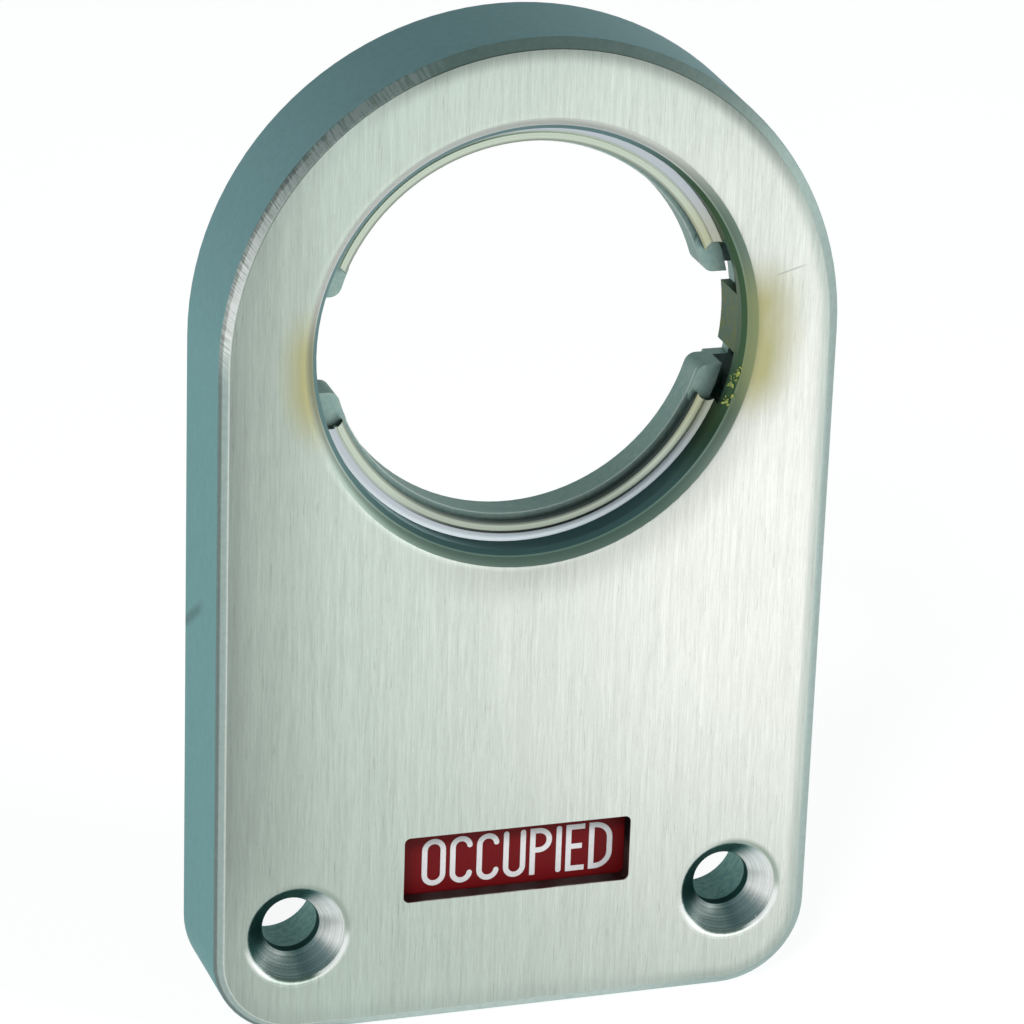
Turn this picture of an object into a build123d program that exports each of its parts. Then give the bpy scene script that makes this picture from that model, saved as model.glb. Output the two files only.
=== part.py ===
from build123d import *
import math
import os

# Door occupancy indicator: an arched steel escutcheon that surrounds the turn of a lock. Millimetres.
# +X is right and +Z is up, seen from the front. The door plane is Y = 0 and the front faces -Y.
# Heights are measured from the door plane towards the front, depths from the front face back.

# Casing
casing_width = 51.3
casing_depth = 9.7
bore_to_bottom = 58.35
arch_drop = 0.5
corner_radius = 7.35
draft = 0.25
bevel = 0.9
bevel_depth = 0.6
wall = 1.5
inner_chamfer = 0.6
bore_radius = 17.45
lip_bevel = 1.1
neck_wall = 1.2
neck_depth = 5.87
pocket_half = 6.7
pocket_depth = 2.0
pocket_overcut = 0.1

# Turned seat inside the bore, and the brazed strips in its two pockets
seat_width = 1.53
seat_depth = 2.88
seat_thickness = 0.62
seat_groove_inset = 0.8
seat_groove = 0.2
seat_end_radius = 1.0
braze_gap = 0.02
strip_half = 2.45
strip_thickness = 0.8

# Window and flag
window_width = 19.3
window_height = 5.8
window_corner = 0.5
field_margin = 0.7
label_side_margin = 0.65
label_thickness = 0.2
label_depth = 1.9
label_joint = 0.1
sheet = 0.8
floor_gap = 1.65
panel_corner = 0.8
tongue_width = 9.0
tongue_depth = 4.9
tongue_lap = 2.0
tongue_end = 2.8
tongue_corner = 2.0
bend_radius = 0.7
bend_start = 0.3

# Flag guides
guide_sheet = 0.55
guide_lap = 1.55
guide_over = 0.2
guide_bend = 0.44
guide_side_gap = 0.4
slide_gap = 0.15

# Fixing screw holes and their sleeves
screw_from_side = 7.1
screw_from_bottom = 9.2
screw_hole_radius = 2.38
countersink_depth = 2.15
countersink_angle = 82
rim_round = 0.9
boss_radius = 4.9
boss_depth = 2.9
sleeve_radius = 4.55
sleeve_bore = 3.85

# Drive ring and its cam
ring_inset = 1.92
ring_front_depth = 3.7
pad_height = 0.5
pad_half = 7.4
ring_rear_depth = 6.81
running_gap = 0.08
slot_half = 3.93
slot_past_bore = 1.2
slot_corner = 1.0
flange_depth = 6.0
flange_thickness = 1.4
flange_past_bore = 5.75
recess_inset = 0.45
cam_past_flange = 1.8
cam_turn = 36.0
cam_steps = 8
cam_rim = 1.8
roller_radius = 1.4
pin_radius = 0.8
pin_head_radius = 1.5
pin_head = 0.45
pin_head_chamfer = 0.2
pin_past_flange = 0.3
roller_past_flange = 0.1
roller_end_gap = 0.05
follower_gap = 0.1

# Back plate, its posts and screws, and the spring stack behind the drive ring
plate_thickness = 1.0
plate_seat = 0.6
plate_gap = 0.1
opening_past_bore = 2.85
sleeve_gap = 0.1
post_radius = 1.4
post_hole_radius = 0.8
post_hole_depth = 5.0
post_from_wall = 3.1
post_over_sleeve = 6.1
post_from_guide = 0.3
post_from_floor = 0.9
plate_screw_head_radius = 1.4
plate_screw_gap = 0.02
plate_screw_end_gap = 0.6
driver_slot = 0.35
stack_gap = 0.05
washer_thickness = 0.3
spring_thickness = 0.3
spring_side_gap = 0.5

# Places worked out from the sizes above
half_width = casing_width / 2
inner_half = half_width - wall
seat_radius = bore_radius - seat_width
seat_groove_radius = bore_radius - seat_groove_inset
ring_bore = bore_radius - ring_inset
slot_reach = bore_radius + slot_past_bore
recess_radius = bore_radius - recess_inset
rear_opening_radius = bore_radius + opening_past_bore
inner_face = casing_depth - wall
inner_floor = -(bore_to_bottom - wall)
field_height = window_height + 2 * field_margin
flag_travel = field_height
window_z = inner_floor + floor_gap + 1.5 * field_height
screw_x = half_width - screw_from_side
screw_z = -(bore_to_bottom - screw_from_bottom)
countersink_slope = math.tan(math.radians(countersink_angle / 2))
countersink_radius = screw_hole_radius + countersink_depth * countersink_slope
label_half = window_width / 2 + label_side_margin
label_front = casing_depth - label_depth
panel_front = label_front - label_thickness
panel_rear = panel_front - sheet
panel_top = window_z + field_height / 2
panel_bottom = window_z - 1.5 * field_height
guide_inner = label_half + guide_side_gap
guide_outer = guide_inner + guide_lap + guide_sheet + slide_gap
panel_half = guide_outer - guide_sheet - slide_gap
tongue_front = casing_depth - tongue_depth
tongue_rear = tongue_front - sheet
flange_front = casing_depth - flange_depth
flange_rear = flange_front - flange_thickness
flange_radius = bore_radius + flange_past_bore
cam_high = flange_radius + cam_past_flange
cam_low = cam_high + flag_travel
cam_slot_half = roller_radius + follower_gap
os.makedirs("parts", exist_ok=True)


def save(piece, name):
    """Label one finished sub-part and write it to its own file."""
    piece.part.label = name
    export_step(piece.part, f"parts/{name}.step")


def arched_outline(inset):
    """Half round top, straight sides and rounded lower corners, drawn in the current sketch."""
    side = half_width - inset
    shoulder = -arch_drop
    low = -(bore_to_bottom - inset)
    with BuildLine() as rim:
        ThreePointArc((-side, shoulder), (0, shoulder + side), (side, shoulder))
        Polyline((side, shoulder), (side, low), (-side, low), (-side, shoulder))
    make_face(rim.edges())
    fillet(vertices().group_by(Axis.Y)[0], corner_radius - inset)


def at_height(height):
    """Plane parallel to the door, at a height in front of it; its sketches extrude forwards."""
    return Plane.XZ.offset(height)


def at_depth(depth):
    """Plane parallel to the front face, at a depth behind it; its sketches extrude forwards."""
    return Plane.XZ.offset(casing_depth - depth)


def edges_at(height, radius):
    """Round edges of one radius at one height of the current part."""
    level = edges().filter_by_position(Axis.Y, -height - 0.01, -height + 0.01)
    return level.filter_by(GeomType.CIRCLE).filter_by(lambda edge: abs(edge.radius - radius) < 0.01)


# Front casing: a deep arched cap with a little draft and a bevelled rim, a bore with a bevelled lip and a
# neck behind it, the window, and two countersunk bosses.
side_height = casing_depth - bevel_depth
draft_angle = math.degrees(math.atan2(draft, side_height))
bevel_angle = math.degrees(math.atan2(bevel, bevel_depth))
with BuildPart() as front_casing:
    with BuildSketch(at_height(0)):
        arched_outline(0)
    extrude(amount=side_height, taper=draft_angle)
    with BuildSketch(at_height(side_height)):
        arched_outline(draft)
    extrude(amount=bevel_depth, taper=bevel_angle)
    with BuildSketch(at_height(0)):
        arched_outline(wall)
    extrude(amount=inner_face, mode=Mode.SUBTRACT)
    chamfer(edges().filter_by_position(Axis.Y, -inner_face - 0.01, -inner_face + 0.01), inner_chamfer)
    with BuildSketch(at_height(0)):
        arched_outline(wall - plate_seat)
    extrude(amount=plate_thickness, mode=Mode.SUBTRACT)
    with BuildSketch(at_depth(neck_depth)):
        Circle(bore_radius + neck_wall)
    extrude(amount=neck_depth - wall)
    with BuildSketch(at_depth(boss_depth)):
        with Locations((-screw_x, screw_z), (screw_x, screw_z)):
            Circle(boss_radius)
    extrude(amount=boss_depth - wall)
    with BuildSketch(at_depth(neck_depth)):
        Circle(bore_radius)
    extrude(amount=neck_depth, mode=Mode.SUBTRACT)
    with BuildSketch(at_depth(neck_depth)):
        Rectangle(casing_width, 2 * pocket_half)
        Circle(bore_radius - seat_end_radius, mode=Mode.SUBTRACT)
        Rectangle(2 * (bore_radius + neck_wall + pocket_overcut), 2 * pocket_half, mode=Mode.INTERSECT)
    extrude(amount=neck_depth - pocket_depth, mode=Mode.SUBTRACT)
    with BuildSketch(at_depth(wall)):
        with Locations((0, window_z)):
            RectangleRounded(window_width, window_height, window_corner)
    extrude(amount=wall, mode=Mode.SUBTRACT)
    with Locations(at_height(casing_depth)):
        with Locations((-screw_x, screw_z), (screw_x, screw_z)):
            CounterSinkHole(screw_hole_radius, countersink_radius, boss_depth, countersink_angle)
    chamfer(edges_at(casing_depth, bore_radius), lip_bevel)
    fillet(edges_at(casing_depth, countersink_radius), rim_round)
save(front_casing, "front_casing")

# Seat ring: a turned step inside the bore with a fine groove in its face. The milled pockets at three
# and nine o'clock leave it in two arcs with hollow ends.
for arc_name, arc_side in (("upper", 1), ("lower", -1)):
    with BuildPart() as seat_arc:
        with BuildSketch(at_depth(seat_depth + seat_thickness)):
            Circle(bore_radius - braze_gap)
            Circle(seat_radius, mode=Mode.SUBTRACT)
            with Locations((0, arc_side * half_width)):
                Rectangle(casing_width, 2 * (half_width - pocket_half + seat_end_radius), mode=Mode.INTERSECT)
            mouth = (bore_radius + seat_radius) / 2
            mouth_z = pocket_half - seat_end_radius
            mouth_x = math.sqrt(mouth**2 - mouth_z**2)
            with Locations((-mouth_x, arc_side * mouth_z), (mouth_x, arc_side * mouth_z)):
                Circle(seat_end_radius, mode=Mode.SUBTRACT)
        extrude(amount=seat_thickness)
        with BuildSketch(at_depth(seat_depth + seat_groove)):
            Circle(seat_groove_radius + seat_groove / 2)
            Circle(seat_groove_radius - seat_groove / 2, mode=Mode.SUBTRACT)
        extrude(amount=seat_groove, mode=Mode.SUBTRACT)
    save(seat_arc, f"{arc_name}_seat_ring")

# Wear strips: two curved strips brazed to the neck in the middle of the pockets.
for side_name, side in (("left", -1), ("right", 1)):
    with BuildPart() as strip:
        with BuildSketch(at_depth(neck_depth)):
            Circle(bore_radius + strip_thickness)
            Circle(bore_radius, mode=Mode.SUBTRACT)
            with Locations((side * bore_radius, 0)):
                Rectangle(bore_radius, 2 * strip_half, mode=Mode.INTERSECT)
        extrude(amount=neck_depth - pocket_depth)
    save(strip, f"{side_name}_wear_strip")

# Screw sleeves: tubes from the countersunk bosses back to the door, so that the screws clamp on steel.
for side_name, side in (("left", -1), ("right", 1)):
    with BuildPart() as sleeve:
        with BuildSketch(at_height(0)):
            with Locations((side * screw_x, screw_z)):
                Circle(sleeve_radius)
                Circle(sleeve_bore, mode=Mode.SUBTRACT)
        extrude(amount=casing_depth - boss_depth)
    save(sleeve, f"{side_name}_screw_sleeve")

# Flag guides: two folded channels, one each side of the window, that hold the edges of the flag.
guide_rear = panel_rear - slide_gap
guide_foot = panel_bottom - guide_over
guide_length = panel_top + flag_travel + guide_over - guide_foot
for side_name, side in (("left", -1), ("right", 1)):
    with BuildPart() as guide:
        with BuildSketch(Plane.XY.offset(guide_foot)):
            with BuildLine():
                Polyline(
                    (side * guide_inner, -inner_face),
                    (side * guide_outer, -inner_face),
                    (side * guide_outer, -(guide_rear - guide_sheet)),
                    (side * guide_inner, -(guide_rear - guide_sheet)),
                    (side * guide_inner, -guide_rear),
                    (side * (guide_outer - guide_sheet), -guide_rear),
                    (side * (guide_outer - guide_sheet), -(panel_front + slide_gap)),
                    (side * guide_inner, -(panel_front + slide_gap)),
                    close=True,
                )
            make_face()
        extrude(amount=guide_length)
        outer_bend = edges().filter_by(Axis.Z).filter_by_position(
            Axis.Y, -(guide_rear - guide_sheet) - 0.01, -(guide_rear - guide_sheet) + 0.01
        )
        fillet(outer_bend.sort_by(Axis.X)[-1 if side > 0 else 0], guide_bend)
    save(guide, f"{side_name}_flag_guide")

# Plate posts: four tapped posts inside the casing that take the back plate's screws.
post_upper = (inner_half - post_from_wall, screw_z + sleeve_radius + post_over_sleeve)
post_lower = (guide_outer + post_radius + post_from_guide, inner_floor + post_radius + post_from_floor)
post_places = [(side * x, z) for side in (-1, 1) for x, z in (post_upper, post_lower)]
with BuildPart() as plate_posts:
    with BuildSketch(at_height(plate_thickness)):
        with Locations(*post_places):
            Circle(post_radius)
    extrude(amount=inner_face - plate_thickness)
    with BuildSketch(at_height(plate_thickness)):
        with Locations(*post_places):
            Circle(post_hole_radius)
    extrude(amount=post_hole_depth, mode=Mode.SUBTRACT)
save(plate_posts, "plate_posts")

# Back plate: closes the casing, flush with its rim, open round the lock's hub and the two sleeves.
plate_sink = plate_screw_head_radius - post_hole_radius
with BuildPart() as back_plate:
    with BuildSketch(at_height(0)):
        arched_outline(wall - plate_seat + plate_gap)
        Circle(rear_opening_radius, mode=Mode.SUBTRACT)
        with Locations((-screw_x, screw_z), (screw_x, screw_z)):
            Circle(sleeve_radius + sleeve_gap, mode=Mode.SUBTRACT)
        with Locations(*post_places):
            Circle(post_hole_radius, mode=Mode.SUBTRACT)
    extrude(amount=plate_thickness)
    chamfer(edges_at(0, post_hole_radius), plate_sink)
save(back_plate, "back_plate")

# Plate screws: four small flat-head screws with a driver slot.
shank_radius = post_hole_radius - plate_screw_gap
shank_end = plate_thickness + post_hole_depth - plate_screw_end_gap
with BuildPart() as plate_screws:
    for x, z in post_places:
        with BuildSketch(Plane(origin=(x, 0, z), x_dir=(1, 0, 0), z_dir=(0, 0, 1))):
            with BuildLine():
                Polyline(
                    (0, 0),
                    (plate_screw_head_radius - plate_screw_gap, 0),
                    (shank_radius, -plate_sink),
                    (shank_radius, -shank_end),
                    (0, -shank_end),
                    close=True,
                )
            make_face()
        revolve(axis=Axis((x, 0, z), (0, 1, 0)))
    with BuildSketch(at_height(0)):
        with Locations(*post_places):
            Rectangle(2 * plate_screw_head_radius, driver_slot)
    extrude(amount=driver_slot, mode=Mode.SUBTRACT)
save(plate_screws, "plate_screws")

# Spring stack: a disc spring on the back plate presses a flat washer towards the drive ring, so that
# the flag stays where the turn leaves it.
spring_inner = rear_opening_radius + spring_side_gap
spring_outer = flange_radius - spring_side_gap
washer_top = flange_rear - stack_gap
with BuildPart() as thrust_washer:
    with BuildSketch(at_height(washer_top - washer_thickness)):
        Circle(spring_outer)
        Circle(spring_inner, mode=Mode.SUBTRACT)
    extrude(amount=washer_thickness)
save(thrust_washer, "thrust_washer")

spring_top = washer_top - washer_thickness
with BuildPart() as disc_spring:
    with BuildSketch(Plane.XY):
        with BuildLine():
            Polyline(
                (spring_inner, -plate_thickness),
                (spring_inner, -(plate_thickness + spring_thickness)),
                (spring_outer, -spring_top),
                (spring_outer, -(spring_top - spring_thickness)),
                close=True,
            )
        make_face()
    revolve(axis=Axis.Y)
save(disc_spring, "disc_spring")


def spiral_point(share, aside=0.0, ahead=0.0):
    """Point of the cam's centre line, whose radius falls evenly as its angle grows to the right.

    aside moves the point square to the line, and ahead moves it along the line's direction.
    """
    turn = math.radians(cam_turn)
    angle = turn * share
    radius = cam_low - flag_travel * share
    fall = flag_travel / turn
    along = Vector(
        radius * math.cos(angle) - fall * math.sin(angle),
        radius * math.sin(angle) + fall * math.cos(angle),
    ).normalized()
    across = Vector(along.Y, -along.X)
    return Vector(radius * math.sin(angle), -radius * math.cos(angle)) + across * aside + along * ahead


def cam_track(half):
    """Band of even width round the cam's centre line with round ends, drawn in the current sketch."""
    shares = [step / cam_steps for step in range(cam_steps + 1)]
    outer = [spiral_point(share, half) for share in shares]
    inner = [spiral_point(share, -half) for share in shares]
    with BuildLine() as rim:
        Spline(*outer)
        ThreePointArc(outer[-1], spiral_point(1, 0, half), inner[-1])
        Spline(*inner)
        ThreePointArc(inner[0], spiral_point(0, 0, -half), outer[0])
    make_face(rim.edges())


# Drive ring: a slotted hub that turns in the neck behind the seat, with raised pads beside its slots, a
# flange behind the neck, and a lobe with a spiral slot. A turn of cam_turn lifts the flag by one field.
hub_radius = bore_radius - running_gap
with BuildPart() as drive_ring:
    with BuildSketch(at_height(flange_rear)):
        Circle(flange_radius)
        with BuildLine():
            Spline(*[spiral_point(step / cam_steps) for step in range(cam_steps + 1)])
            Line(spiral_point(1), (0, 0))
            Line((0, 0), spiral_point(0))
        make_face()
        cam_track(cam_slot_half + cam_rim)
    extrude(amount=flange_thickness)
    with BuildSketch(at_depth(ring_rear_depth)):
        Circle(hub_radius)
    extrude(amount=ring_rear_depth - ring_front_depth)
    with BuildSketch(at_depth(ring_front_depth + pad_height)):
        Circle(hub_radius)
        Rectangle(2 * hub_radius, 2 * pad_half, mode=Mode.SUBTRACT)
    extrude(amount=pad_height, mode=Mode.SUBTRACT)
    with BuildSketch(at_height(flange_rear)):
        Circle(recess_radius)
    extrude(amount=casing_depth - ring_rear_depth - flange_rear, mode=Mode.SUBTRACT)
    with BuildSketch(at_height(flange_rear)):
        Circle(ring_bore)
        Circle(slot_reach)
        Rectangle(2 * slot_reach, 2 * slot_half, mode=Mode.INTERSECT)
        Circle(ring_bore)
    extrude(amount=casing_depth, mode=Mode.SUBTRACT)
    with BuildSketch(at_height(flange_rear)):
        cam_track(cam_slot_half)
    extrude(amount=flange_thickness, mode=Mode.SUBTRACT)
    slot_mouths = edges().filter_by(Axis.Y).filter_by(
        lambda edge: abs(math.hypot(edge.center().X, edge.center().Z) - ring_bore) < 0.05
    )
    fillet(slot_mouths, slot_corner)
save(drive_ring, "drive_ring")

# Flag slide: a flat panel for the two colour fields, with a joggled tongue that reaches back to the cam.
pin_z = -cam_low
tongue_top = pin_z + tongue_end
joggle = panel_rear - tongue_rear
corner_shift = sheet / 2 * math.tan(math.radians(22.5))
bend_low = panel_top + bend_start
bend_high = bend_low + joggle
with BuildPart() as flag_slide:
    with BuildSketch(at_height(panel_rear)):
        with Locations((0, (panel_top + panel_bottom) / 2)):
            RectangleRounded(2 * panel_half, panel_top - panel_bottom, panel_corner)
    extrude(amount=sheet)
    with BuildSketch(Plane.YZ):
        with BuildLine():
            front_line = FilletPolyline(
                (-panel_front, panel_top - tongue_lap),
                (-panel_front, bend_low + corner_shift),
                (-tongue_front, bend_high + corner_shift),
                (-tongue_front, tongue_top),
                radius=[bend_radius + sheet, bend_radius],
            )
            rear_line = FilletPolyline(
                (-panel_rear, panel_top - tongue_lap),
                (-panel_rear, bend_low - corner_shift),
                (-tongue_rear, bend_high - corner_shift),
                (-tongue_rear, tongue_top),
                radius=[bend_radius, bend_radius + sheet],
            )
            Line(front_line @ 0, rear_line @ 0)
            Line(front_line @ 1, rear_line @ 1)
        make_face()
    extrude(amount=tongue_width / 2, both=True)
    fillet(edges().filter_by(Axis.Y).group_by(Axis.Z)[-1], tongue_corner)
    with BuildSketch(at_height(tongue_rear)):
        with Locations((0, pin_z)):
            Circle(pin_radius)
    extrude(amount=sheet, mode=Mode.SUBTRACT)
save(flag_slide, "flag_slide")

# Colour fields: the red one stands in the window at rest, the green one hides below it.
for field_name, field_z in (("occupied", window_z), ("vacant", window_z - field_height)):
    with BuildPart() as label:
        with BuildSketch(at_height(panel_front)):
            with Locations((0, field_z)):
                Rectangle(2 * label_half, field_height - label_joint)
        extrude(amount=label_thickness)
    save(label, f"{field_name}_label")

# Follower: a headed pin riveted through the tongue, with a roller that runs in the spiral slot.
pin_tail = flange_rear - pin_past_flange
with BuildPart() as follower_pin:
    with BuildSketch(at_height(pin_tail)):
        with Locations((0, pin_z)):
            Circle(pin_radius)
    extrude(amount=tongue_front - pin_tail)
    with BuildSketch(at_height(tongue_front)):
        with Locations((0, pin_z)):
            Circle(pin_head_radius)
    extrude(amount=pin_head)
    chamfer(edges_at(tongue_front + pin_head, pin_head_radius), pin_head_chamfer)
save(follower_pin, "follower_pin")

roller_foot = flange_rear - roller_past_flange
with BuildPart() as follower_roller:
    with BuildSketch(at_height(roller_foot)):
        with Locations((0, pin_z)):
            Circle(roller_radius)
            Circle(pin_radius, mode=Mode.SUBTRACT)
    extrude(amount=tongue_rear - roller_end_gap - roller_foot)
save(follower_roller, "follower_roller")

print("cam", round(cam_high, 2), "to", round(cam_low, 2), "mm, lift", round(flag_travel, 2), "mm")
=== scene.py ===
import math
import random

import bmesh
import bpy
from mathutils import Matrix, Quaternion, Vector


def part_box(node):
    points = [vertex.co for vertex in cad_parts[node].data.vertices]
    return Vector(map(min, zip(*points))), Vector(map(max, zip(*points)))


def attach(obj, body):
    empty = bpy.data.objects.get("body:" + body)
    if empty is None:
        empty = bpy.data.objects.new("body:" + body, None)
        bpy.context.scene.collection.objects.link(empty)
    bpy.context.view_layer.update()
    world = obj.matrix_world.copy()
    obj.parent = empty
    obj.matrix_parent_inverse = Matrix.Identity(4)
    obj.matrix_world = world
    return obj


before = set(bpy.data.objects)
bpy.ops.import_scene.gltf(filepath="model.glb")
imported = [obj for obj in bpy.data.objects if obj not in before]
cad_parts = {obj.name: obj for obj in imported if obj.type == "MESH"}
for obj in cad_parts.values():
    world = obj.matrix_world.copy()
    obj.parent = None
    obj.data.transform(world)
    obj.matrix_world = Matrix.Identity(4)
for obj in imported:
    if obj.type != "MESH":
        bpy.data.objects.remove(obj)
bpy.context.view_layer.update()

# Front casing. A deep cap of stainless steel, bored and countersunk, with its front brushed up and down.
# The sides keep a dull drawn skin, the bevel shows slanting file marks, and brazing has tinted the steel
# straw yellow on both sides of the bore.
# Much of the casing's light and shade is painted into its colour: a highlight and shade across the front, shade
# on the bevel's sides and edges, light and a highlight on the lip, light, glints and shadow in the countersinks,
# and shade in the screw holes and the window.
mm = 0.001
casing_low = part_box("front_casing")[0]
casing_depth = -casing_low.y / mm
half_face = 24.5
arch_drop = 0.5
face_low = -57.2
face_corner = 6.2
bevel_depth = 0.6
bore_radius = 17.45
lip_bevel = 1.1
lip_line = 17.86
screw_x = 18.55
screw_z = -49.15
sink_rim = 4.66
sink_cone = 4.05
screw_hole = 2.38
window_z = -44.4
window_half_width = 9.65
window_half_height = 2.9
nick_place = (21.0, 4.9)
nick_slope = 0.3
dent_z = -24.8
dent_slope = 0.65

fine_brush = (9.0, 1.0, 0.38)
broad_brush = (2.2, 0.5, 0.06)
scratch_brush = (7.0, 1.0, 0.45)
slow_change = (0.09, 0.05, 0.06)
# Centre and reach of the highlight painted across the brushed front.
highlight_place = (22.0, -18.0)
highlight_reach = (41.0, 60.0)

# face_steel and face_shade are the front's lit and painted-shade tones, and edge_shade is painted shade at its
# edges.
face_steel = (0.89, 0.90, 0.85)
face_shade = (0.58, 0.67, 0.60)
edge_shade = (0.44, 0.52, 0.48)
wall_teal = (0.24, 0.50, 0.51)
wall_blue = (0.33, 0.53, 0.57)
bevel_dark = (0.58, 0.68, 0.64)
bevel_side_shade = (0.44, 0.54, 0.51)
bevel_bright = (0.86, 0.90, 0.86)
straw_tint = (0.46, 0.45, 0.24)
lip_deep = (0.27, 0.44, 0.45)
lip_low = (0.56, 0.70, 0.60)
lip_right = (0.22, 0.30, 0.24)
lip_burnt = (0.36, 0.40, 0.19)
lip_green = (0.08, 0.15, 0.08)
# Countersink colours, with a painted highlight, shadow, cool shade and rim shade.
sink_steel = (0.70, 0.80, 0.78)
sink_highlight = (0.97, 0.98, 0.97)
sink_shadow = (0.10, 0.24, 0.22)
sink_cool_shade = (0.38, 0.52, 0.56)
rim_shade = (0.44, 0.52, 0.45)
hole_shade = (0.025, 0.11, 0.10)
slot_upper_shade = (0.012, 0.016, 0.016)
slot_lower_shade = (0.14, 0.09, 0.09)


class Shade:
    """A value in a material. Arithmetic on it adds Math nodes, and make() adds any other node."""

    def __init__(self, socket):
        self.socket = socket

    def make(self, kind, inputs, output=0, **settings):
        """Adds a node: its settings first, then the values or links of its sockets."""
        tree = self.socket.id_data
        node = tree.nodes.new("ShaderNode" + kind)
        for name, value in settings.items():
            setattr(node, name, value)
        for name, value in inputs.items():
            if isinstance(value, Shade):
                tree.links.new(value.socket, node.inputs[name])
            elif isinstance(value, tuple) and node.inputs[name].type == "RGBA":
                node.inputs[name].default_value = (*value, 1)
            else:
                node.inputs[name].default_value = value
        return Shade(node.outputs[output])

    def maths(self, operation, first, second=0.0):
        return self.make("Math", {0: first, 1: second}, operation=operation)

    def __add__(self, other):
        return self.maths("ADD", self, other)

    def __radd__(self, other):
        return self.maths("ADD", other, self)

    def __sub__(self, other):
        return self.maths("SUBTRACT", self, other)

    def __rsub__(self, other):
        return self.maths("SUBTRACT", other, self)

    def __mul__(self, other):
        return self.maths("MULTIPLY", self, other)

    def __rmul__(self, other):
        return self.maths("MULTIPLY", other, self)

    def __truediv__(self, other):
        return self.maths("DIVIDE", self, other)

    def __pow__(self, other):
        return self.maths("POWER", self, other)

    def __abs__(self):
        return self.maths("ABSOLUTE", self)


def rise(value, low, high):
    """0 below low, 1 above high, and smooth between them."""
    return value.make("MapRange", {0: value, 1: low, 2: high}, interpolation_type="SMOOTHSTEP")


def fall(value, low, high):
    """1 below low, 0 above high, and smooth between them."""
    return 1 - rise(value, low, high)


def beside(value, place, core, reach):
    """1 within core of a place on a line, 0 beyond reach of it, and smooth between them."""
    return fall(abs(value - place), core, reach)


def larger(first, second):
    return first.maths("MAXIMUM", first, second)


def smaller(first, second):
    return first.maths("MINIMUM", first, second)


def from_axis(first, second):
    """Distance of a place from an axis, from its two offsets."""
    return (first * first + second * second) ** 0.5


def blend_colours(share, under, over):
    """The colour under, turned into the colour over where share is 1."""
    return share.make("Mix", {0: share, 6: under, 7: over}, output=2, data_type="RGBA")


def darken(colour, amount):
    """A colour times a number that changes over the surface."""
    return amount.make("Mix", {0: 1.0, 6: colour, 7: amount}, output=2, data_type="RGBA", blend_type="MULTIPLY")


def new_finish(name):
    """A new material, and the place on its piece in millimetres of the part's frame."""
    material = bpy.data.materials.new(name)
    material.use_nodes = True
    material.node_tree.nodes.clear()
    place = Shade(material.node_tree.nodes.new("ShaderNodeTexCoord").outputs["Object"])
    return material, place.make("VectorMath", {0: place, "Scale": 1 / mm}, operation="SCALE")


def split(place):
    """The three coordinates of a place."""
    return [place.make("SeparateXYZ", {0: place}, output=number) for number in range(3)]


def grain(place, stretch, detail=2.0, roughness=0.5):
    """Noise from 0 to 1 with its own number of grains per millimetre along X, Y and Z."""
    spread = place.make("VectorMath", {0: place, 1: stretch}, operation="MULTIPLY")
    return spread.make("TexNoise", {"Vector": spread, "Scale": 1.0, "Detail": detail, "Roughness": roughness})


def rings(distance, count, detail=2.0):
    """Turning marks: noise from 0 to 1 that changes only with the distance from an axis."""
    line = distance.make("CombineXYZ", {0: distance * count})
    return line.make("TexNoise", {"Vector": line, "Scale": 1.0, "Detail": detail})


def relief(height, size, under=None):
    """Surface normal of a relief that is size millimetres high where height is 1."""
    inputs = {"Height": height, "Strength": 1.0, "Distance": size * mm}
    if under:
        inputs["Normal"] = under
    return height.make("Bump", inputs)


def lay_finish(material, pieces, **sockets):
    """Ends a material with its surface and puts it on the pieces."""
    tree = material.node_tree
    names = {"colour": "Base Color", "specular": "Specular IOR Level"}
    place = Shade(tree.nodes[0].outputs[0])
    surface = place.make("BsdfPrincipled", {names.get(key, key.title()): value for key, value in sockets.items()})
    tree.links.new(surface.socket, tree.nodes.new("ShaderNodeOutputMaterial").inputs["Surface"])
    for piece in pieces:
        piece.data.materials.clear()
        piece.data.materials.append(material)


def face_edge_distance(x, z):
    """Distance inwards from the outline of the brushed front: an arch above, round corners below."""
    to_arch = half_face - from_axis(x, larger(z + arch_drop, 0.0))
    past_corner = larger(abs(x) - (half_face - face_corner), 0.0)
    below_corner = larger((face_low + face_corner) - z, 0.0)
    return smaller(to_arch, face_corner - from_axis(past_corner, below_corner))


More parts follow.
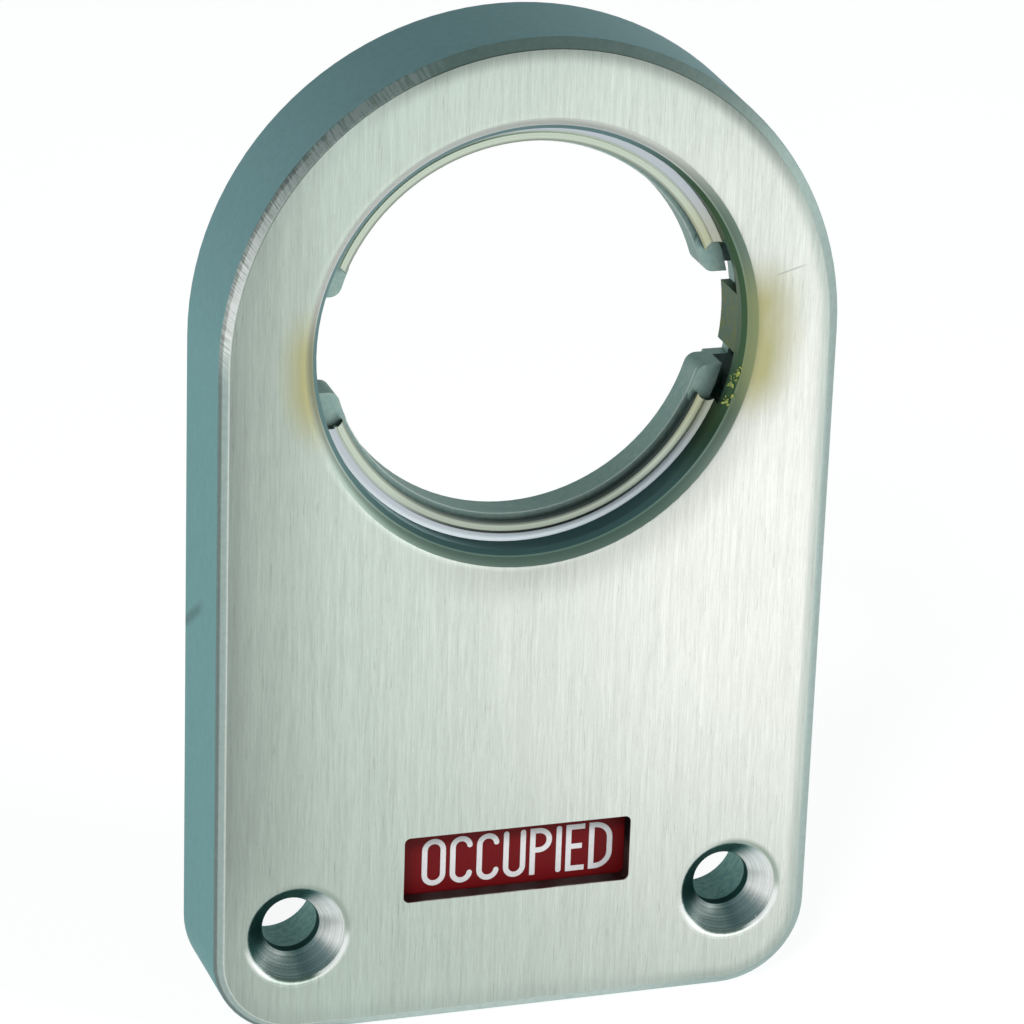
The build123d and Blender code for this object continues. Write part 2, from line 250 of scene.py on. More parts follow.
def brushed_face(place, x, z, radius, to_edge, fine, broad):
    """Brushed steel, with a painted highlight brightest low on the right, and painted shade where it rolls over
    at its edges, beside the lower right of the bore and towards the far left.
    """
    from_highlight = from_axis((x - highlight_place[0]) / highlight_reach[0], (z - highlight_place[1]) / highlight_reach[1])
    # Painted highlight: lightest around one place low on the right, and shaded away from it.
    colour = blend_colours(fall(from_highlight, 0.0, 1.15), face_shade, face_steel)
    # Painted shade where the front rolls over at its edges.
    rolled_edge_shade = fall(to_edge, 0.0, 2.2) * fall(x, 4.0, 20.0)
    colour = blend_colours(rolled_edge_shade * 0.35, colour, edge_shade)
    right_edge_shade = fall(to_edge, 0.1, 1.1) * rise(x, 6.0, 18.0)
    colour = blend_colours(right_edge_shade * 0.7, colour, edge_shade)
    top_edge_shade = fall(to_edge, 0.0, 1.3) * rise(z, 6.0, 18.0) * rise(x, -16.0, -8.0)
    colour = darken(colour, 1 - 0.42 * top_edge_shade)
    scratch = rise(grain(place, scratch_brush, 2.0), 0.66, 0.74)
    cloud = grain(place, slow_change, 3.0)
    speckle = grain(place, (8.0, 8.0, 8.0), 2.0)
    colour = darken(colour, 0.46 + fine * 0.60 + broad * 0.30 + cloud * 0.08 + speckle * 0.10 - 0.16 * scratch)
    nick_line = beside(z - nick_slope * (x - nick_place[0]), nick_place[1], 0.02, 0.12)
    nick = nick_line * rise(x, 19.6, 20.2) * fall(x, 21.6, 22.6)
    colour = darken(colour, 1 - 0.3 * nick)
    # Painted shade beside the lower right of the bore and towards the far left.
    bore_side_shade = fall(radius, bore_radius + lip_bevel, bore_radius + 5.0) * rise(x - z, 4.0, 22.0)
    far_left_shade = fall(x, -25.0, -14.0) * (0.32 - 0.18 * fall(z, -52.0, -38.0))
    return darken(colour, 1 - 0.24 * bore_side_shade - far_left_shade)


def brazing_heat(place, x, z, radius):
    """Share of straw tint, beside the two brazed strips in the bore and stronger on the right."""
    hug_right = fall(radius, bore_radius + lip_bevel, bore_radius + 6.0)
    hug_left = fall(radius, bore_radius + 1.0, bore_radius + 3.9)
    right = fall(abs(z + 0.8) / 8.0 + larger(x * -1, 0.0), 0.35, 1.0) * hug_right
    left = fall(abs(z + 1.5) / 7.4 + larger(x, 0.0), 0.2, 1.0) * hug_left
    return smaller(larger(right, left) * (0.75 + 0.5 * grain(place, (0.9, 0.9, 0.35), 3.0)), 1.0)


def filed_bevel(place, x, z, depth):
    """The bevel's colour, with painted shade on its sides, a painted highlight along its front edge and painted
    shade along its inner edge on the left, and the height of the slanting file marks on its upper left.
    """
    slant = z - depth * 1.3
    marks = slant.make("CombineXYZ", {0: slant * 8.0, 1: depth * 0.9})
    marks = marks.make("TexNoise", {"Vector": marks, "Scale": 1.0, "Detail": 3.0})
    painted_left_bevel = rise(x * -1, 12.0, 19.0) * fall(z, 14.0, 21.0)
    painted_right_bevel = rise(x, 8.0, 20.0)
    filed = rise(x * -1, 7.0, 12.0) * rise(z, -2.0, 4.0)
    # Painted shade on the bevel's sides.
    colour = blend_colours(larger(painted_left_bevel, painted_right_bevel), bevel_dark, bevel_side_shade)
    colour = blend_colours(filed, colour, darken(bevel_bright, 0.80 + 0.75 * rise(marks, 0.36, 0.64)))
    # A painted highlight along the bevel's front edge on the left, and painted shade along its inner edge there.
    colour = blend_colours(fall(depth, 0.04, 0.16) * painted_left_bevel, colour, bevel_bright)
    colour = darken(colour, 1 - 0.5 * rise(depth, 0.36, 0.44) * painted_left_bevel)
    return darken(colour, 0.85 + 0.3 * grain(place, (2.0, 2.0, 2.0), 3.0)), marks * filed


def drawn_skin(place, x, y, z, depth):
    """The dull sides, bluer towards the top, with the painted shade of one shallow dent on the left."""
    colour = blend_colours(rise(z, -6.0, 22.0), wall_teal, wall_blue)
    colour = darken(colour, 0.86 + 0.26 * grain(place, (1.5, 1.5, 1.5), 4.0, 0.7))
    # Painted shade of a shallow dent, in place of a cut one.
    dent_shade = beside(z + dent_slope * y, dent_z, 0.1, 0.9) * fall(x, -20.0, -15.0) * rise(depth, 3.0, 7.0)
    return darken(colour, 1 - 0.35 * dent_shade)


def bore_lip(x, z, radius, turned, straw):
    """The bevelled lip, turned bright, lighter towards the top in painted light, darker on its right and with a
    painted highlight along its inner line, and the dark wall of the bore behind it, darker low on the right.
    """
    # Painted light: the lip turns lighter towards the top.
    lip = blend_colours(rise(z, -15.0, 3.0), lip_low, face_steel)
    lip = blend_colours(rise(x - 0.5 * z, 0.0, 12.0) * rise(z, -13.0, -6.0), lip, lip_right)
    # Painted highlight along the lip's inner line.
    lip = darken(lip, 0.86 + turned * 0.3 + 0.5 * beside(radius, lip_line, 0.02, 0.1))
    lip = blend_colours(straw * 0.8, lip, blend_colours(rise(x, 0.0, 5.0), straw_tint, lip_burnt))
    deep = blend_colours(rise(x, 6.0, 14.0) * rise(z, -15.0, -8.0), lip_deep, lip_green)
    return blend_colours(rise(radius, lip_line - 0.08, lip_line), deep, lip)


def countersinks(colour, x, z, from_screw, in_cone, tool_rings):
    """Lays both countersinks over a colour, with painted light and shade: a lit side, glints and glowing rim
    arcs, shadow on the upper left, cool shade low on the right and shade on the upper rim. Gives it back with the
    share that is made less metallic on the painted lit side and highlights, so that it scatters light.
    """
    across = (x - screw_x * (2 * rise(x, -1.0, 1.0) - 1)) / from_screw
    up = (z - screw_z) / from_screw

    def facing(degrees, low, high):
        """How nearly a place lies in one direction from the screw's axis, as a share between two cosines."""
        angle = math.radians(degrees)
        return rise(across * math.cos(angle) + up * math.sin(angle), low, high)

    # Painted light and shade on the cones: a lit side and glint, shadow on the upper left and cool shade low on
    # the right.
    lit_side = facing(20, -0.2, 0.8)
    glint = facing(41, 0.80, 0.98)
    cone = blend_colours(larger(lit_side, rise(tool_rings, 0.4, 0.65) * 0.6), sink_steel, sink_highlight)
    cone = blend_colours(facing(135, -0.1, 0.45), cone, sink_shadow)
    cone = blend_colours(facing(-60, 0.86, 0.98) * 0.8, cone, sink_cool_shade)
    cone = darken(cone, 0.70 + 0.16 * glint + 0.48 * rise(tool_rings, 0.30, 0.62))
    # Painted shade on the upper right of each rim, and glowing highlight arcs low on either side.
    rim = rise(from_screw, sink_cone - 0.02, sink_cone + 0.10) * fall(from_screw, sink_cone + 0.22, sink_rim)
    rim_glow = rim * larger(facing(-35, 0.78, 0.95), facing(-143, 0.86, 0.98) * 0.7)
    colour = blend_colours(in_cone, colour, cone)
    colour = blend_colours(rim * facing(49, 0.3, 0.8), colour, rim_shade)
    colour = blend_colours(rim_glow, colour, sink_highlight)
    return colour, in_cone * (0.28 * lit_side + 0.50 * glint) + 0.6 * rim_glow


def casing_finish():
    material, place = new_finish("brushed_casing")
    x, y, z = split(place)
    depth = y + casing_depth
    radius = from_axis(x, z)
    from_screw = from_axis(abs(x) - screw_x, z - screw_z)
    to_edge = face_edge_distance(x, z)

    lip_edge = bore_radius + lip_bevel
    in_bore = fall(radius, lip_edge - 0.08, lip_edge + 0.04)
    in_sink = fall(from_screw, sink_rim - 0.05, sink_rim)
    in_cone = fall(from_screw, sink_cone - 0.15, sink_cone + 0.1)
    in_hole = fall(from_screw, screw_hole + 0.02, screw_hole + 0.1)
    in_window = beside(x, 0.0, window_half_width + 0.1, window_half_width + 0.2) * beside(
        z, window_z, window_half_height + 0.1, window_half_height + 0.2
    )
    outside = (1 - in_bore) * (1 - in_sink)
    beyond_edge = rise(depth, 0.02, 0.08) * outside * (1 - in_window)
    wall = rise(depth, bevel_depth - 0.08, bevel_depth + 0.04) * beyond_edge

    fine = grain(place, fine_brush, 5.0, 0.75)
    broad = grain(place, broad_brush, 3.0, 0.6)
    turned = rings(radius + depth, 4.0, 3.0)
    tool_rings = rings(from_screw, 7.0, 4.0)
    straw = brazing_heat(place, x, z, radius)
    bevel, file_marks = filed_bevel(place, x, z, depth)

    colour = brushed_face(place, x, z, radius, to_edge, fine, broad)
    colour = blend_colours(straw, colour, straw_tint)
    colour = blend_colours(beyond_edge, colour, bevel)
    colour = blend_colours(wall, colour, drawn_skin(place, x, y, z, depth))
    colour = blend_colours(in_bore * rise(depth, 0.0, 0.05), colour, bore_lip(x, z, radius, turned, straw))
    colour, painted_light_scatter = countersinks(colour, x, z, from_screw, in_cone, tool_rings)
    # Painted shade inside the screw holes.
    colour = blend_colours(in_hole, colour, hole_shade)
    # Painted shade on the window's walls: darkest on the upper wall, lighter and reddish on the lower.
    slot_shade = blend_colours(rise(z, window_z - 1.0, window_z + 1.0), slot_lower_shade, slot_upper_shade)
    colour = blend_colours(in_window * rise(depth, 0.05, 0.15), colour, slot_shade)

    rough = 0.30 + 0.14 * fine + 0.16 * wall + 0.05 * in_bore - 0.12 * in_sink
    rough = rough + 0.3 * in_window * rise(depth, 0.2, 0.3) + 0.55 * in_hole
    brushing = (fine * (1 - wall) + broad * 0.6) * outside
    cutting = tool_rings * 0.9 * in_cone + turned * 0.6 * in_bore + file_marks * 4.0 * beyond_edge * (1 - wall)
    lip_roll = 1 - smaller(abs(radius - lip_edge) / 0.5, 1.0)
    edge_roll = 1 - smaller(larger(to_edge / 1.3, to_edge * -2.0), 1.0)
    rolled = lip_roll * lip_roll * -0.08 - edge_roll * edge_roll * 0.16 * fall(z, -8.0, 6.0)
    lay_finish(
        material, [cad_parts["front_casing"]], colour=colour, metallic=1 - painted_light_scatter, roughness=rough,
        normal=relief(brushing + cutting, 0.007, relief(rolled, 1.0)),
    )


casing_finish()

# Seat ring. Two arcs of bright turned steel brazed into the bore, with a fine groove that parts a pale
# yellow inner band from a lilac outer one. Heat has browned their ends beside the milled pockets.
seat_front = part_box("lower_seat_ring")[0].y / mm
seat_inner = 15.92
seat_groove = 16.65
seat_cove = 0.72
pocket_half = 6.7
inner_band = (0.60, 0.68, 0.57)
outer_band = (0.52, 0.57, 0.61)
# Painted shade for the groove and for the arcs' walls.
groove_shade = (0.06, 0.07, 0.06)
seat_wall_shade = (0.05, 0.07, 0.065)


def seat_finish():
    material, place = new_finish("turned_seat")
    x, y, z = split(place)
    radius = from_axis(x, z)
    turned = rings(radius, 7.0, 3.0)
    colour = blend_colours(rise(radius, seat_groove, seat_groove + 0.1), inner_band, outer_band)
    # Painted shade in the groove, strongest at the bottom.
    groove = beside(radius, seat_groove, 0.08, 0.14)
    colour = blend_colours(groove * (0.15 + 0.75 * fall(z, -16.3, -12.5)), colour, groove_shade)
    # Painted shade along the inner edge, and on the inner band at the bottom.
    inner_edge_shade = fall(radius, seat_inner + 0.06, seat_inner + 0.26)
    inner_low_shade = fall(radius, seat_groove - 0.1, seat_groove) * fall(z, -15.0, -11.0)
    colour = darken(colour, 1 - 0.5 * inner_edge_shade - 0.22 * inner_low_shade)
    browned = fall(abs(z), pocket_half, pocket_half + 5.0) * rise(x, -4.0, 4.0)
    colour = blend_colours(browned * 0.55, colour, straw_tint)
    colour = darken(colour, 0.76 + 0.4 * turned)
    # Painted shade on the arcs' walls behind their front face.
    side = rise(y, seat_front + 0.03, seat_front + 0.08) * rise(abs(radius - seat_groove), 0.12, 0.16)
    colour = blend_colours(side, colour, seat_wall_shade)
    cove = larger((radius - seat_groove - 0.08) / seat_cove, 0.0)
    lay_finish(
        material, [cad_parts["upper_seat_ring"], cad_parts["lower_seat_ring"]],
        colour=colour, metallic=1.0, roughness=0.24 + 0.12 * turned,
        normal=relief(turned, 0.006, relief(cove * cove, 0.13)),
    )


seat_finish()

# Wear strips. Two short curved strips brazed into the milled pockets, dark with heat and flux.
strip_steel = (0.12, 0.20, 0.14)
strip_olive = (0.17, 0.21, 0.09)
# Place of a black spot of painted shade where a slit opens on the right strip.
slit_shade_place = (17.85, 2.1)


def strip_finish():
    material, place = new_finish("brazed_strip")
    mottle = grain(place, (1.2, 1.2, 1.2), 4.0)
    x, y, z = split(place)
    # Painted shade: a black spot over the slit.
    slit_shade = fall(from_axis(x - slit_shade_place[0], (z - slit_shade_place[1]) * 0.7), 0.14, 0.26)
    colour = darken(blend_colours(rise(mottle, 0.4, 0.65), strip_steel, strip_olive), 0.8 + 0.5 * mottle)
    colour = darken(colour, 1 - 0.95 * slit_shade)
    lay_finish(
        material, [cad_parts["left_wear_strip"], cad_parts["right_wear_strip"]],
        colour=colour, metallic=0.9, roughness=0.42 + 0.2 * mottle, normal=relief(mottle, 0.02),
    )


strip_finish()

# Brazing flux. A few yellow-green crumbs of dried flux on the casing's lip, below the right pocket.
crumb_count = 28
crumb_arc = (-10.5, -22.0)
crumb_length = (0.10, 0.34)
crumb_width = (0.25, 0.5)
crumb_height = 0.3
crumb_roughness = (0.72, 1.2)
flux_yellow = (0.42, 0.46, 0.11)
flux_green = (0.24, 0.30, 0.10)


def flux_crumbs():
    chance = random.Random(7)
    shape = bmesh.new()
    for _ in range(crumb_count):
        angle = math.radians(crumb_arc[0] + (crumb_arc[1] - crumb_arc[0]) * chance.random())
        inward = chance.random()
        radius = bore_radius + lip_bevel * (0.30 - 0.42 * inward)
        depth = lip_bevel * (0.65 + 0.45 * inward)
        length = chance.uniform(*crumb_length)
        centre = Vector((radius * math.cos(angle), depth - casing_depth, radius * math.sin(angle)))
        spin = chance.uniform(0, math.tau)
        turn = Matrix.Rotation(spin, 4, Vector((chance.random(), chance.random(), 1)).normalized())
        size = Matrix.Diagonal((length, length * chance.uniform(*crumb_width), length * crumb_height, 1))
        made = bmesh.ops.create_icosphere(shape, subdivisions=2, radius=1.0)
        for vertex in made["verts"]:
            vertex.co *= chance.uniform(*crumb_roughness)
            vertex.co = (centre + (turn @ size @ vertex.co)) * mm
    mesh = bpy.data.meshes.new("flux_crumbs")
    shape.to_mesh(mesh)
    shape.free()
    crumbs = bpy.data.objects.new("flux_crumbs", mesh)
    bpy.context.scene.collection.objects.link(crumbs)
    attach(crumbs, "casing")
    material, place = new_finish("dried_flux")
    mottle = grain(place, (3.0, 3.0, 3.0), 3.0)
    lay_finish(
        material, [crumbs], colour=blend_colours(rise(mottle, 0.35, 0.65), flux_yellow, flux_green),
        roughness=0.5 + 0.2 * mottle, normal=relief(mottle, 0.02),
    )


flux_crumbs()

# Drive ring. Sintered steel blasted to an even matte grey: the slotted hub that turns in the neck, and
# the flange and cam lobe behind it.
ring_grey = (0.37, 0.50, 0.45)
ring_teal = (0.29, 0.43, 0.41)
ring_edge_highlight = (0.60, 0.70, 0.65)
ring_front = 4.2
ring_bore = 15.53


def ring_finish():
    material, place = new_finish("blasted_ring")
    x, y, z = split(place)
    pores = grain(place, (9.0, 9.0, 9.0), 4.0, 0.7)
    patch = grain(place, (1.6, 1.6, 1.6), 4.0, 0.65)
    colour = darken(blend_colours(rise(patch, 0.3, 0.7), ring_grey, ring_teal), 0.74 + 0.5 * pores)
    depth = y + casing_depth
    # A painted highlight along the front edge of the bore.
    front_edge_highlight = beside(depth, ring_front, 0.06, 0.14) * fall(from_axis(x, z), ring_bore + 0.04, ring_bore + 0.1)
    lay_finish(
        material, [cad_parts["drive_ring"]],
        colour=blend_colours(front_edge_highlight, colour, ring_edge_highlight), metallic=0.9, roughness=0.42 + 0.14 * pores,
        normal=relief(pores, 0.008),
    )


ring_finish()

# Screw sleeves and plate posts. Cut from dull grey steel tube and rod, with faint turning marks.
sleeve_grey = (0.15, 0.32, 0.31)
sleeve_green = (0.26, 0.44, 0.40)


def sleeve_finish():
    material, place = new_finish("sleeve_steel")
    x, y, z = split(place)
    marks = rings(y, 6.0, 3.0)
    mottle = grain(place, (2.0, 2.0, 2.0), 3.0)
    lay_finish(
        material, [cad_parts[name] for name in ("left_screw_sleeve", "right_screw_sleeve", "plate_posts")],
        colour=darken(blend_colours(rise(mottle, 0.35, 0.65), sleeve_grey, sleeve_green), 0.8 + 0.4 * marks),
        metallic=1.0, roughness=0.42 + 0.15 * mottle, normal=relief(marks, 0.006),
    )


sleeve_finish()

# Back plate. Zinc plated sheet, pressed flat and blanked, with the bluish spangle of thin zinc and a few
# rubs from handling. Its small flat-head screws are plain machined steel.
zinc_grey = (0.45, 0.48, 0.50)
zinc_blue = (0.36, 0.41, 0.46)
screw_steel = (0.52, 0.52, 0.49)


def plate_finish():
    material, place = new_finish("zinc_plate")
    spangle = place.make("TexVoronoi", {"Vector": place, "Scale": 0.6}, output=1)
    spangle = spangle.make("SeparateColor", {0: spangle})
    roll = grain(place, (0.4, 3.0, 5.0), 3.0)
    rubs = rise(grain(place, (0.3, 1.0, 1.6), 4.0, 0.7), 0.56, 0.7)
    colour = blend_colours(spangle * 0.5, zinc_grey, zinc_blue)
    lay_finish(
        material, [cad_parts["back_plate"]],
        colour=darken(colour, 0.82 + 0.2 * roll + 0.2 * rubs), metallic=1.0,
        roughness=0.36 + 0.12 * roll - 0.1 * rubs, normal=relief(roll, 0.004),
    )


def screw_finish():
    material, place = new_finish("machined_screws")
    x, y, z = split(place)
    marks = grain(place, (6.0, 6.0, 6.0), 3.0)
    lay_finish(
        material, [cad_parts["plate_screws"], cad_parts["follower_pin"]],
        colour=darken(blend_colours(marks, screw_steel, zinc_grey), 0.8 + 0.3 * marks),
        metallic=1.0, roughness=0.26 + 0.14 * marks, normal=relief(marks, 0.004),
    )


plate_finish()
screw_finish()

# Spring stack. A blued disc spring and a rolled brass washer that press on the back of the drive ring.
blued_steel = (0.055, 0.065, 0.10)
blued_brown = (0.12, 0.085, 0.07)
washer_brass = (0.62, 0.43, 0.16)
washer_dark = (0.38, 0.25, 0.10)


def stack_finish(name, node, plain, aged, count):
    material, place = new_finish(name)
    x, y, z = split(place)
    marks = rings(from_axis(x, z), count, 3.0)
    age = grain(place, (0.3, 0.3, 0.3), 3.0)
    lay_finish(
        material, [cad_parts[node]],
        colour=darken(blend_colours(rise(age, 0.4, 0.7), plain, aged), 0.8 + 0.3 * marks),
        metallic=1.0, roughness=0.28 + 0.15 * age, normal=relief(marks, 0.004),
    )


stack_finish("blued_spring", "disc_spring", blued_steel, blued_brown, 4.0)
stack_finish("rolled_brass", "thrust_washer", washer_brass, washer_dark, 7.0)

# Flag guides and flag slide. Folded and joggled from thin rolled sheet, with rolling lines along them.
sheet_steel = (0.44, 0.47, 0.46)


def sheet_finish():
    material, place = new_finish("rolled_sheet")
    lines = grain(place, (6.0, 6.0, 0.3), 3.0)
    lay_finish(
        material, [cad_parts[name] for name in ("left_flag_guide", "right_flag_guide", "flag_slide")],
        colour=darken(blend_colours(lines, sheet_steel, zinc_blue), 0.8 + 0.3 * lines),
        metallic=1.0, roughness=0.3 + 0.15 * lines, normal=relief(lines, 0.004),
    )


sheet_finish()

# Follower roller. Turned from plain white acetal.
acetal = (0.72, 0.71, 0.64)


def roller_finish():
    material, place = new_finish("acetal_roller")
    x, y, z = split(place)
    marks = rings(y, 8.0, 2.0)
    lay_finish(
        material, [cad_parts["follower_roller"]],
        colour=darken(blend_colours(marks, acetal, face_steel), 0.9 + 0.1 * marks), roughness=0.38,
        normal=relief(marks, 0.004),
    )


roller_finish()

# Colour fields. Satin films stuck to the flag, red above and green below, each with one status word
# screen printed on it in thick pale ink.
field_red = (0.17, 0.007, 0.009)
field_red_deep = (0.12, 0.004, 0.006)
field_green = (0.018, 0.19, 0.06)
field_green_deep = (0.008, 0.11, 0.035)
ink_pale = (0.80, 0.76, 0.80)
letter_height = 4.2
stroke = 0.46
ink_thickness = 0.03
letter_gap = 0.37
word_shift = 0.57
word_drop = 0.4
letter_widths = {
    "O": 2.03, "C": 1.91, "U": 1.91, "P": 1.88, "I": 0.48, "E": 1.62, "D": 2.03,
    "V": 2.05, "A": 2.10, "N": 2.0, "T": 1.75,
}


def field_finish(name, node, plain, deep):
    material, place = new_finish(name)
    dust = grain(place, (5.0, 5.0, 5.0), 3.0)
    patch = grain(place, (0.4, 0.4, 0.4), 2.0)
    lay_finish(
        material, [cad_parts[node]],
        colour=darken(blend_colours(patch * 0.5, plain, deep), 0.85 + 0.3 * dust), roughness=0.38 + 0.1 * dust,
        specular=0.15, normal=relief(dust, 0.003),
    )


field_finish("red_film", "occupied_label", field_red, field_red_deep)
field_finish("green_film", "vacant_label", field_green, field_green_deep)


def bend(centre, size, start, end, count=12):
    """Points on an elliptical arc between two angles in degrees."""
    angles = [math.radians(start + (end - start) * step / count) for step in range(count + 1)]
    return [(centre[0] + size[0] * math.cos(a), centre[1] + size[1] * math.sin(a)) for a in angles]


def ribbon(path, half, caps=6):
    """Closed outline of a stroke of even width along a path, with round ends."""
    points = [Vector(point) for point in path]
    sides = []
    for number, point in enumerate(points):
        before = points[max(number - 1, 0)]
        after = points[min(number + 1, len(points) - 1)]
        first = (point - before).normalized() if number else (after - point).normalized()
        second = (after - point).normalized() if number < len(points) - 1 else first
        across = Vector((-(first + second).y, (first + second).x)).normalized()
        square = Vector((-first.y, first.x))
        sides.append(across * half / max(across.dot(square), 0.35))
    left = [point + side for point, side in zip(points, sides)]
    right = [point - side for point, side in zip(points, sides)]
    outline = list(left)
    for end, side in ((points[-1], sides[-1]), (points[0], -sides[0])):
        outline += [end + Matrix.Rotation(-math.pi * step / caps, 2) @ side for step in range(1, caps)]
        if end == points[-1]:
            outline += right[::-1]
    return [tuple(point) for point in outline]


def rounded_end(left, low, right, high, inner=0.0):
    """A D-shaped outline: square on the left and half round on the right, shrunk by inner all round."""
    bow = min((high - low) / 2, (right - left) * 0.72) - inner
    top = high - inner - bow
    foot = low + inner + bow
    side = right - inner - bow
    return [
        (left + inner, low + inner),
        *bend((side, foot), (bow, bow), -90, 0, 8),
        *bend((side, top), (bow, bow), 0, 90, 8),
        (left + inner, high - inner),
    ]


def letter_outlines(letter, width, height, thick):
    """Closed outlines of one plain letter, from its lower left corner."""
    half = thick / 2
    middle = width / 2
    bow = middle - half
    low, high = bow + half, height - bow - half
    waist = height * 0.53
    if letter == "O":
        return [
            bend((middle, high), (bow + side,) * 2, 0, 180) + bend((middle, low), (bow + side,) * 2, 180, 360)
            for side in (half, -half)
        ]
    if letter == "C":
        arms = bend((middle, high), (bow, bow), 8, 180) + bend((middle, low), (bow, bow), 180, 352)
        return [ribbon(arms, half)]
    if letter == "U":
        cup = bend((middle, low), (bow, bow), 180, 360)
        return [ribbon([(half, height - half), *cup, (width - half, height - half)], half)]
    if letter == "I":
        return [ribbon([(middle, half), (middle, height - half)], half)]
    if letter == "P":
        bowl = rounded_end(0, waist - half, width, height)
        return [
            [(0, 0), (thick, 0), (thick, waist - half), *bowl[1:]],
            rounded_end(0, waist - half, width, height, thick),
        ]
    if letter == "D":
        return [rounded_end(0, 0, width, height, inner) for inner in (0, thick)]
    if letter == "E":
        arms = ((0, thick), (waist - half, waist + half), (height - thick, height))
        steps = []
        for foot, top in arms:
            reach = width * (0.86 if foot and top < height else 1.0)
            steps += [(thick, foot), (reach, foot), (reach, top), (thick, top)]
        return [[(0, 0), *steps[1:-1], (0, height)]]
    if letter == "V":
        return [[
            (middle - half, 0), (middle + half, 0), (width, height), (width - thick * 1.04, height),
            (middle, thick * 1.7), (thick * 1.04, height), (0, height),
        ]]
    if letter == "A":
        foot, peak, bar = thick * 1.04, height - thick * 1.7, height * 0.25
        inset = [foot + (middle - foot) * level / peak for level in (bar, bar + thick)]
        return [
            [(0, 0), (foot, 0), (inset[0], bar), (width - inset[0], bar), (width - foot, 0), (width, 0),
             (middle + half, height), (middle - half, height)],
            [(inset[1], bar + thick), (width - inset[1], bar + thick), (middle, peak)],
        ]
    if letter == "N":
        slope = thick * 1.1
        dip = height * thick / (width - slope)
        return [[
            (0, 0), (thick, 0), (thick, height - dip), (width - slope, 0), (width, 0), (width, height),
            (width - thick, height), (width - thick, dip), (slope, height), (0, height),
        ]]
    across = [(0, height - thick), (width, height - thick), (width, height), (0, height)]
    stem = [(middle - half, 0), (middle + half, 0), (middle + half, height - thick)]
    return [[*stem, *across[1:], (0, height - thick), (middle - half, height - thick)]]


def print_word(name, word, centre_x, centre_z, front, body):
    """One status word as a thin raised print on its field."""
    widths = [letter_widths[letter] for letter in word]
    cursor = centre_x - (sum(widths) + letter_gap * (len(word) - 1)) / 2
    curve = bpy.data.curves.new(name, "CURVE")
    curve.dimensions = "2D"
    curve.fill_mode = "BOTH"
    curve.extrude = ink_thickness * mm / 2
    for letter, width in zip(word, widths):
        for outline in letter_outlines(letter, width, letter_height, stroke):
            spline = curve.splines.new("POLY")
            spline.points.add(len(outline) - 1)
            for point, (x, z) in zip(spline.points, outline):
                point.co = ((cursor + x) * mm, (centre_z - letter_height / 2 + z) * mm, 0, 1)
            spline.use_cyclic_u = True
        cursor += width + letter_gap
    flat = bpy.data.objects.new(name + "_outline", curve)
    mesh = bpy.data.meshes.new_from_object(flat)
    bpy.data.objects.remove(flat)
    mesh.transform(Matrix.Translation((0, front, 0)) @ Matrix.Rotation(math.pi / 2, 4, "X"))
    piece = bpy.data.objects.new(name, mesh)
    bpy.context.scene.collection.objects.link(piece)
    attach(piece, body)
    return piece


def ink_finish(pieces):
    material, place = new_finish("screen_ink")
    mottle = grain(place, (4.0, 4.0, 4.0), 3.0)
    lay_finish(
        material, pieces, colour=darken(blend_colours(mottle * 0.5, ink_pale, face_steel), 0.9 + 0.15 * mottle),
        roughness=0.45 + 0.1 * mottle, normal=relief(mottle, 0.004),
    )


words = []
for label, word in (("occupied_label", "OCCUPIED"), ("vacant_label", "VACANT")):
    field_low, field_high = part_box(label)
    field_centre = (field_low + field_high) / 2
    words.append(
        print_word(
            word.lower() + "_word", word, word_shift, field_centre.z / mm - word_drop,
            field_low.y - ink_thickness * mm / 2, "flag",
        )
    )
ink_finish(words)

# Studio. A plain white floor under a room that is dim above, with a soft lamp on each side that doesn't
# show in mirrored light. There the steel sees a pale card low in front of it, to the right, and a
# brighter pool on the floor below that.
floor_reach = 6.0
floor_tone = (0.80, 0.80, 0.80)
paper_glow = 1.18
seen_share = 0.76
mirrored_share = 0.36
pool_place = (80.0, -112.0)
pool_size = (92.0, 104.0)
far_floor = (450.0, 1000.0)
room_low = (0.86, 0.95, 0.93)
room_high = (0.15, 0.22, 0.21)
room_turn = (0.06, 0.28)
room_light = 0.62
card_light = (2.8, 2.9, 2.85)
card_place = (0.50, 0.08)
card_size = (0.7, 0.28)
lamp_size = 0.25


def studio_floor():
    mesh = bpy.data.meshes.new("floor")
    corners = [(x * floor_reach, y * floor_reach, casing_low.z) for x, y in ((-1, -1), (1, -1), (1, 1), (-1, 1))]
    mesh.from_pydata(corners, [], [(0, 1, 2, 3)])
    floor = bpy.data.objects.new("floor", mesh)
    bpy.context.scene.collection.objects.link(floor)
    material, place = new_finish("floor_paper")
    x, y, z = split(place)
    seen = place.make("LightPath", {}, output="Is Camera Ray")
    mirrored = place.make("LightPath", {}, output="Is Glossy Ray")
    pool = fall(from_axis((x - pool_place[0]) / pool_size[0], (y - pool_place[1]) / pool_size[1]), 0.2, 1.3)
    far = rise(from_axis(x, y), *far_floor) * fall(y, -300.0, 0.0)
    share = larger(seen * seen_share, mirrored * (mirrored_share + (1 - mirrored_share) * larger(pool, far)))
    plain = place.make("BsdfDiffuse", {"Color": floor_tone})
    glow = place.make("Emission", {"Color": (1.0, 1.0, 1.0), "Strength": paper_glow})
    mixed = place.make("MixShader", {0: share, 1: plain, 2: glow})
    tree = material.node_tree
    tree.links.new(mixed.socket, tree.nodes.new("ShaderNodeOutputMaterial").inputs["Surface"])
    mesh.materials.append(material)


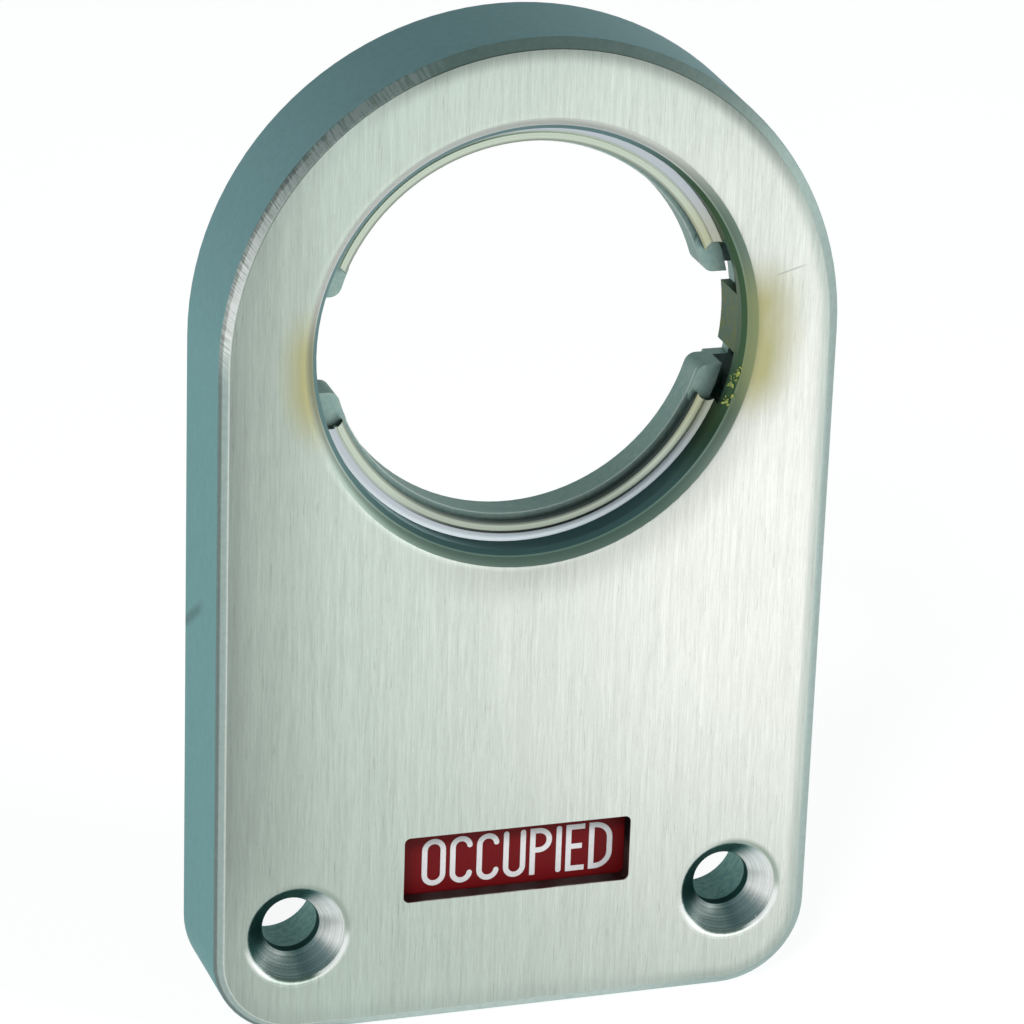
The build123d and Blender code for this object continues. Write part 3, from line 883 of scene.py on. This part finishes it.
def studio_world():
    world = bpy.data.worlds.new("studio")
    bpy.context.scene.world = world
    world.use_nodes = True
    tree = world.node_tree
    tree.nodes.clear()
    seen = Shade(tree.nodes.new("ShaderNodeLightPath").outputs["Is Camera Ray"])
    direction = seen.make("TexCoord", {})
    x, y, z = split(direction)
    above = z - larger(y, 0.0) * 0.45
    room = blend_colours(rise(above, *room_turn), room_low, room_high)
    from_card = from_axis((x - card_place[0]) / card_size[0], (z - card_place[1]) / card_size[1])
    room = blend_colours(fall(from_card, 0.6, 1.1) * fall(y, -0.4, 0.0), room, card_light)
    colour = blend_colours(seen, room, (1.0, 1.0, 1.0))
    back = seen.make("Background", {"Color": colour, "Strength": room_light + (1 - room_light) * seen})
    tree.links.new(back.socket, tree.nodes.new("ShaderNodeOutputWorld").inputs["Surface"])


def softbox(name, place, power):
    """A square area lamp that faces the piece and doesn't show in mirrored light."""
    lamp = bpy.data.lights.new(name, "AREA")
    lamp.size = lamp_size
    lamp.energy = power
    box = bpy.data.objects.new(name, lamp)
    box.location = place
    box.rotation_mode = "QUATERNION"
    box.rotation_quaternion = Vector(place).to_track_quat("Z", "Y")
    box.visible_glossy = False
    bpy.context.scene.collection.objects.link(box)


studio_floor()
studio_world()
softbox("key_softbox", (-0.50, -0.75, 0.65), 6.0)
softbox("fill_softbox", (0.75, -0.60, 0.55), 4.0)

# Camera. A long lens to the left of the piece and above it, rolled a little, as in the photograph.
photo_width = 1024
focal_pixels = 4559
sensor_width = 36
view_yaw = math.radians(-17.84)
view_pitch = math.radians(21.45)
view_roll = math.radians(1.95)
view_distance = 0.3563
view_aim = Vector((-0.00282, -0.01377, -0.01207))


def photo_camera():
    lens = bpy.data.cameras.new("camera")
    lens.sensor_width = sensor_width
    lens.lens = focal_pixels / photo_width * sensor_width
    lens.clip_start = 0.01
    lens.clip_end = 50
    camera = bpy.data.objects.new("camera", lens)
    back = Vector((
        math.sin(view_yaw) * math.cos(view_pitch),
        -math.cos(view_yaw) * math.cos(view_pitch),
        math.sin(view_pitch),
    ))
    camera.location = view_aim + back * view_distance
    camera.rotation_mode = "QUATERNION"
    camera.rotation_quaternion = back.to_track_quat("Z", "Y") @ Quaternion((0, 0, 1), view_roll)
    bpy.context.scene.collection.objects.link(camera)
    bpy.context.scene.camera = camera


photo_camera()
bpy.context.scene.view_settings.view_transform = "Standard"
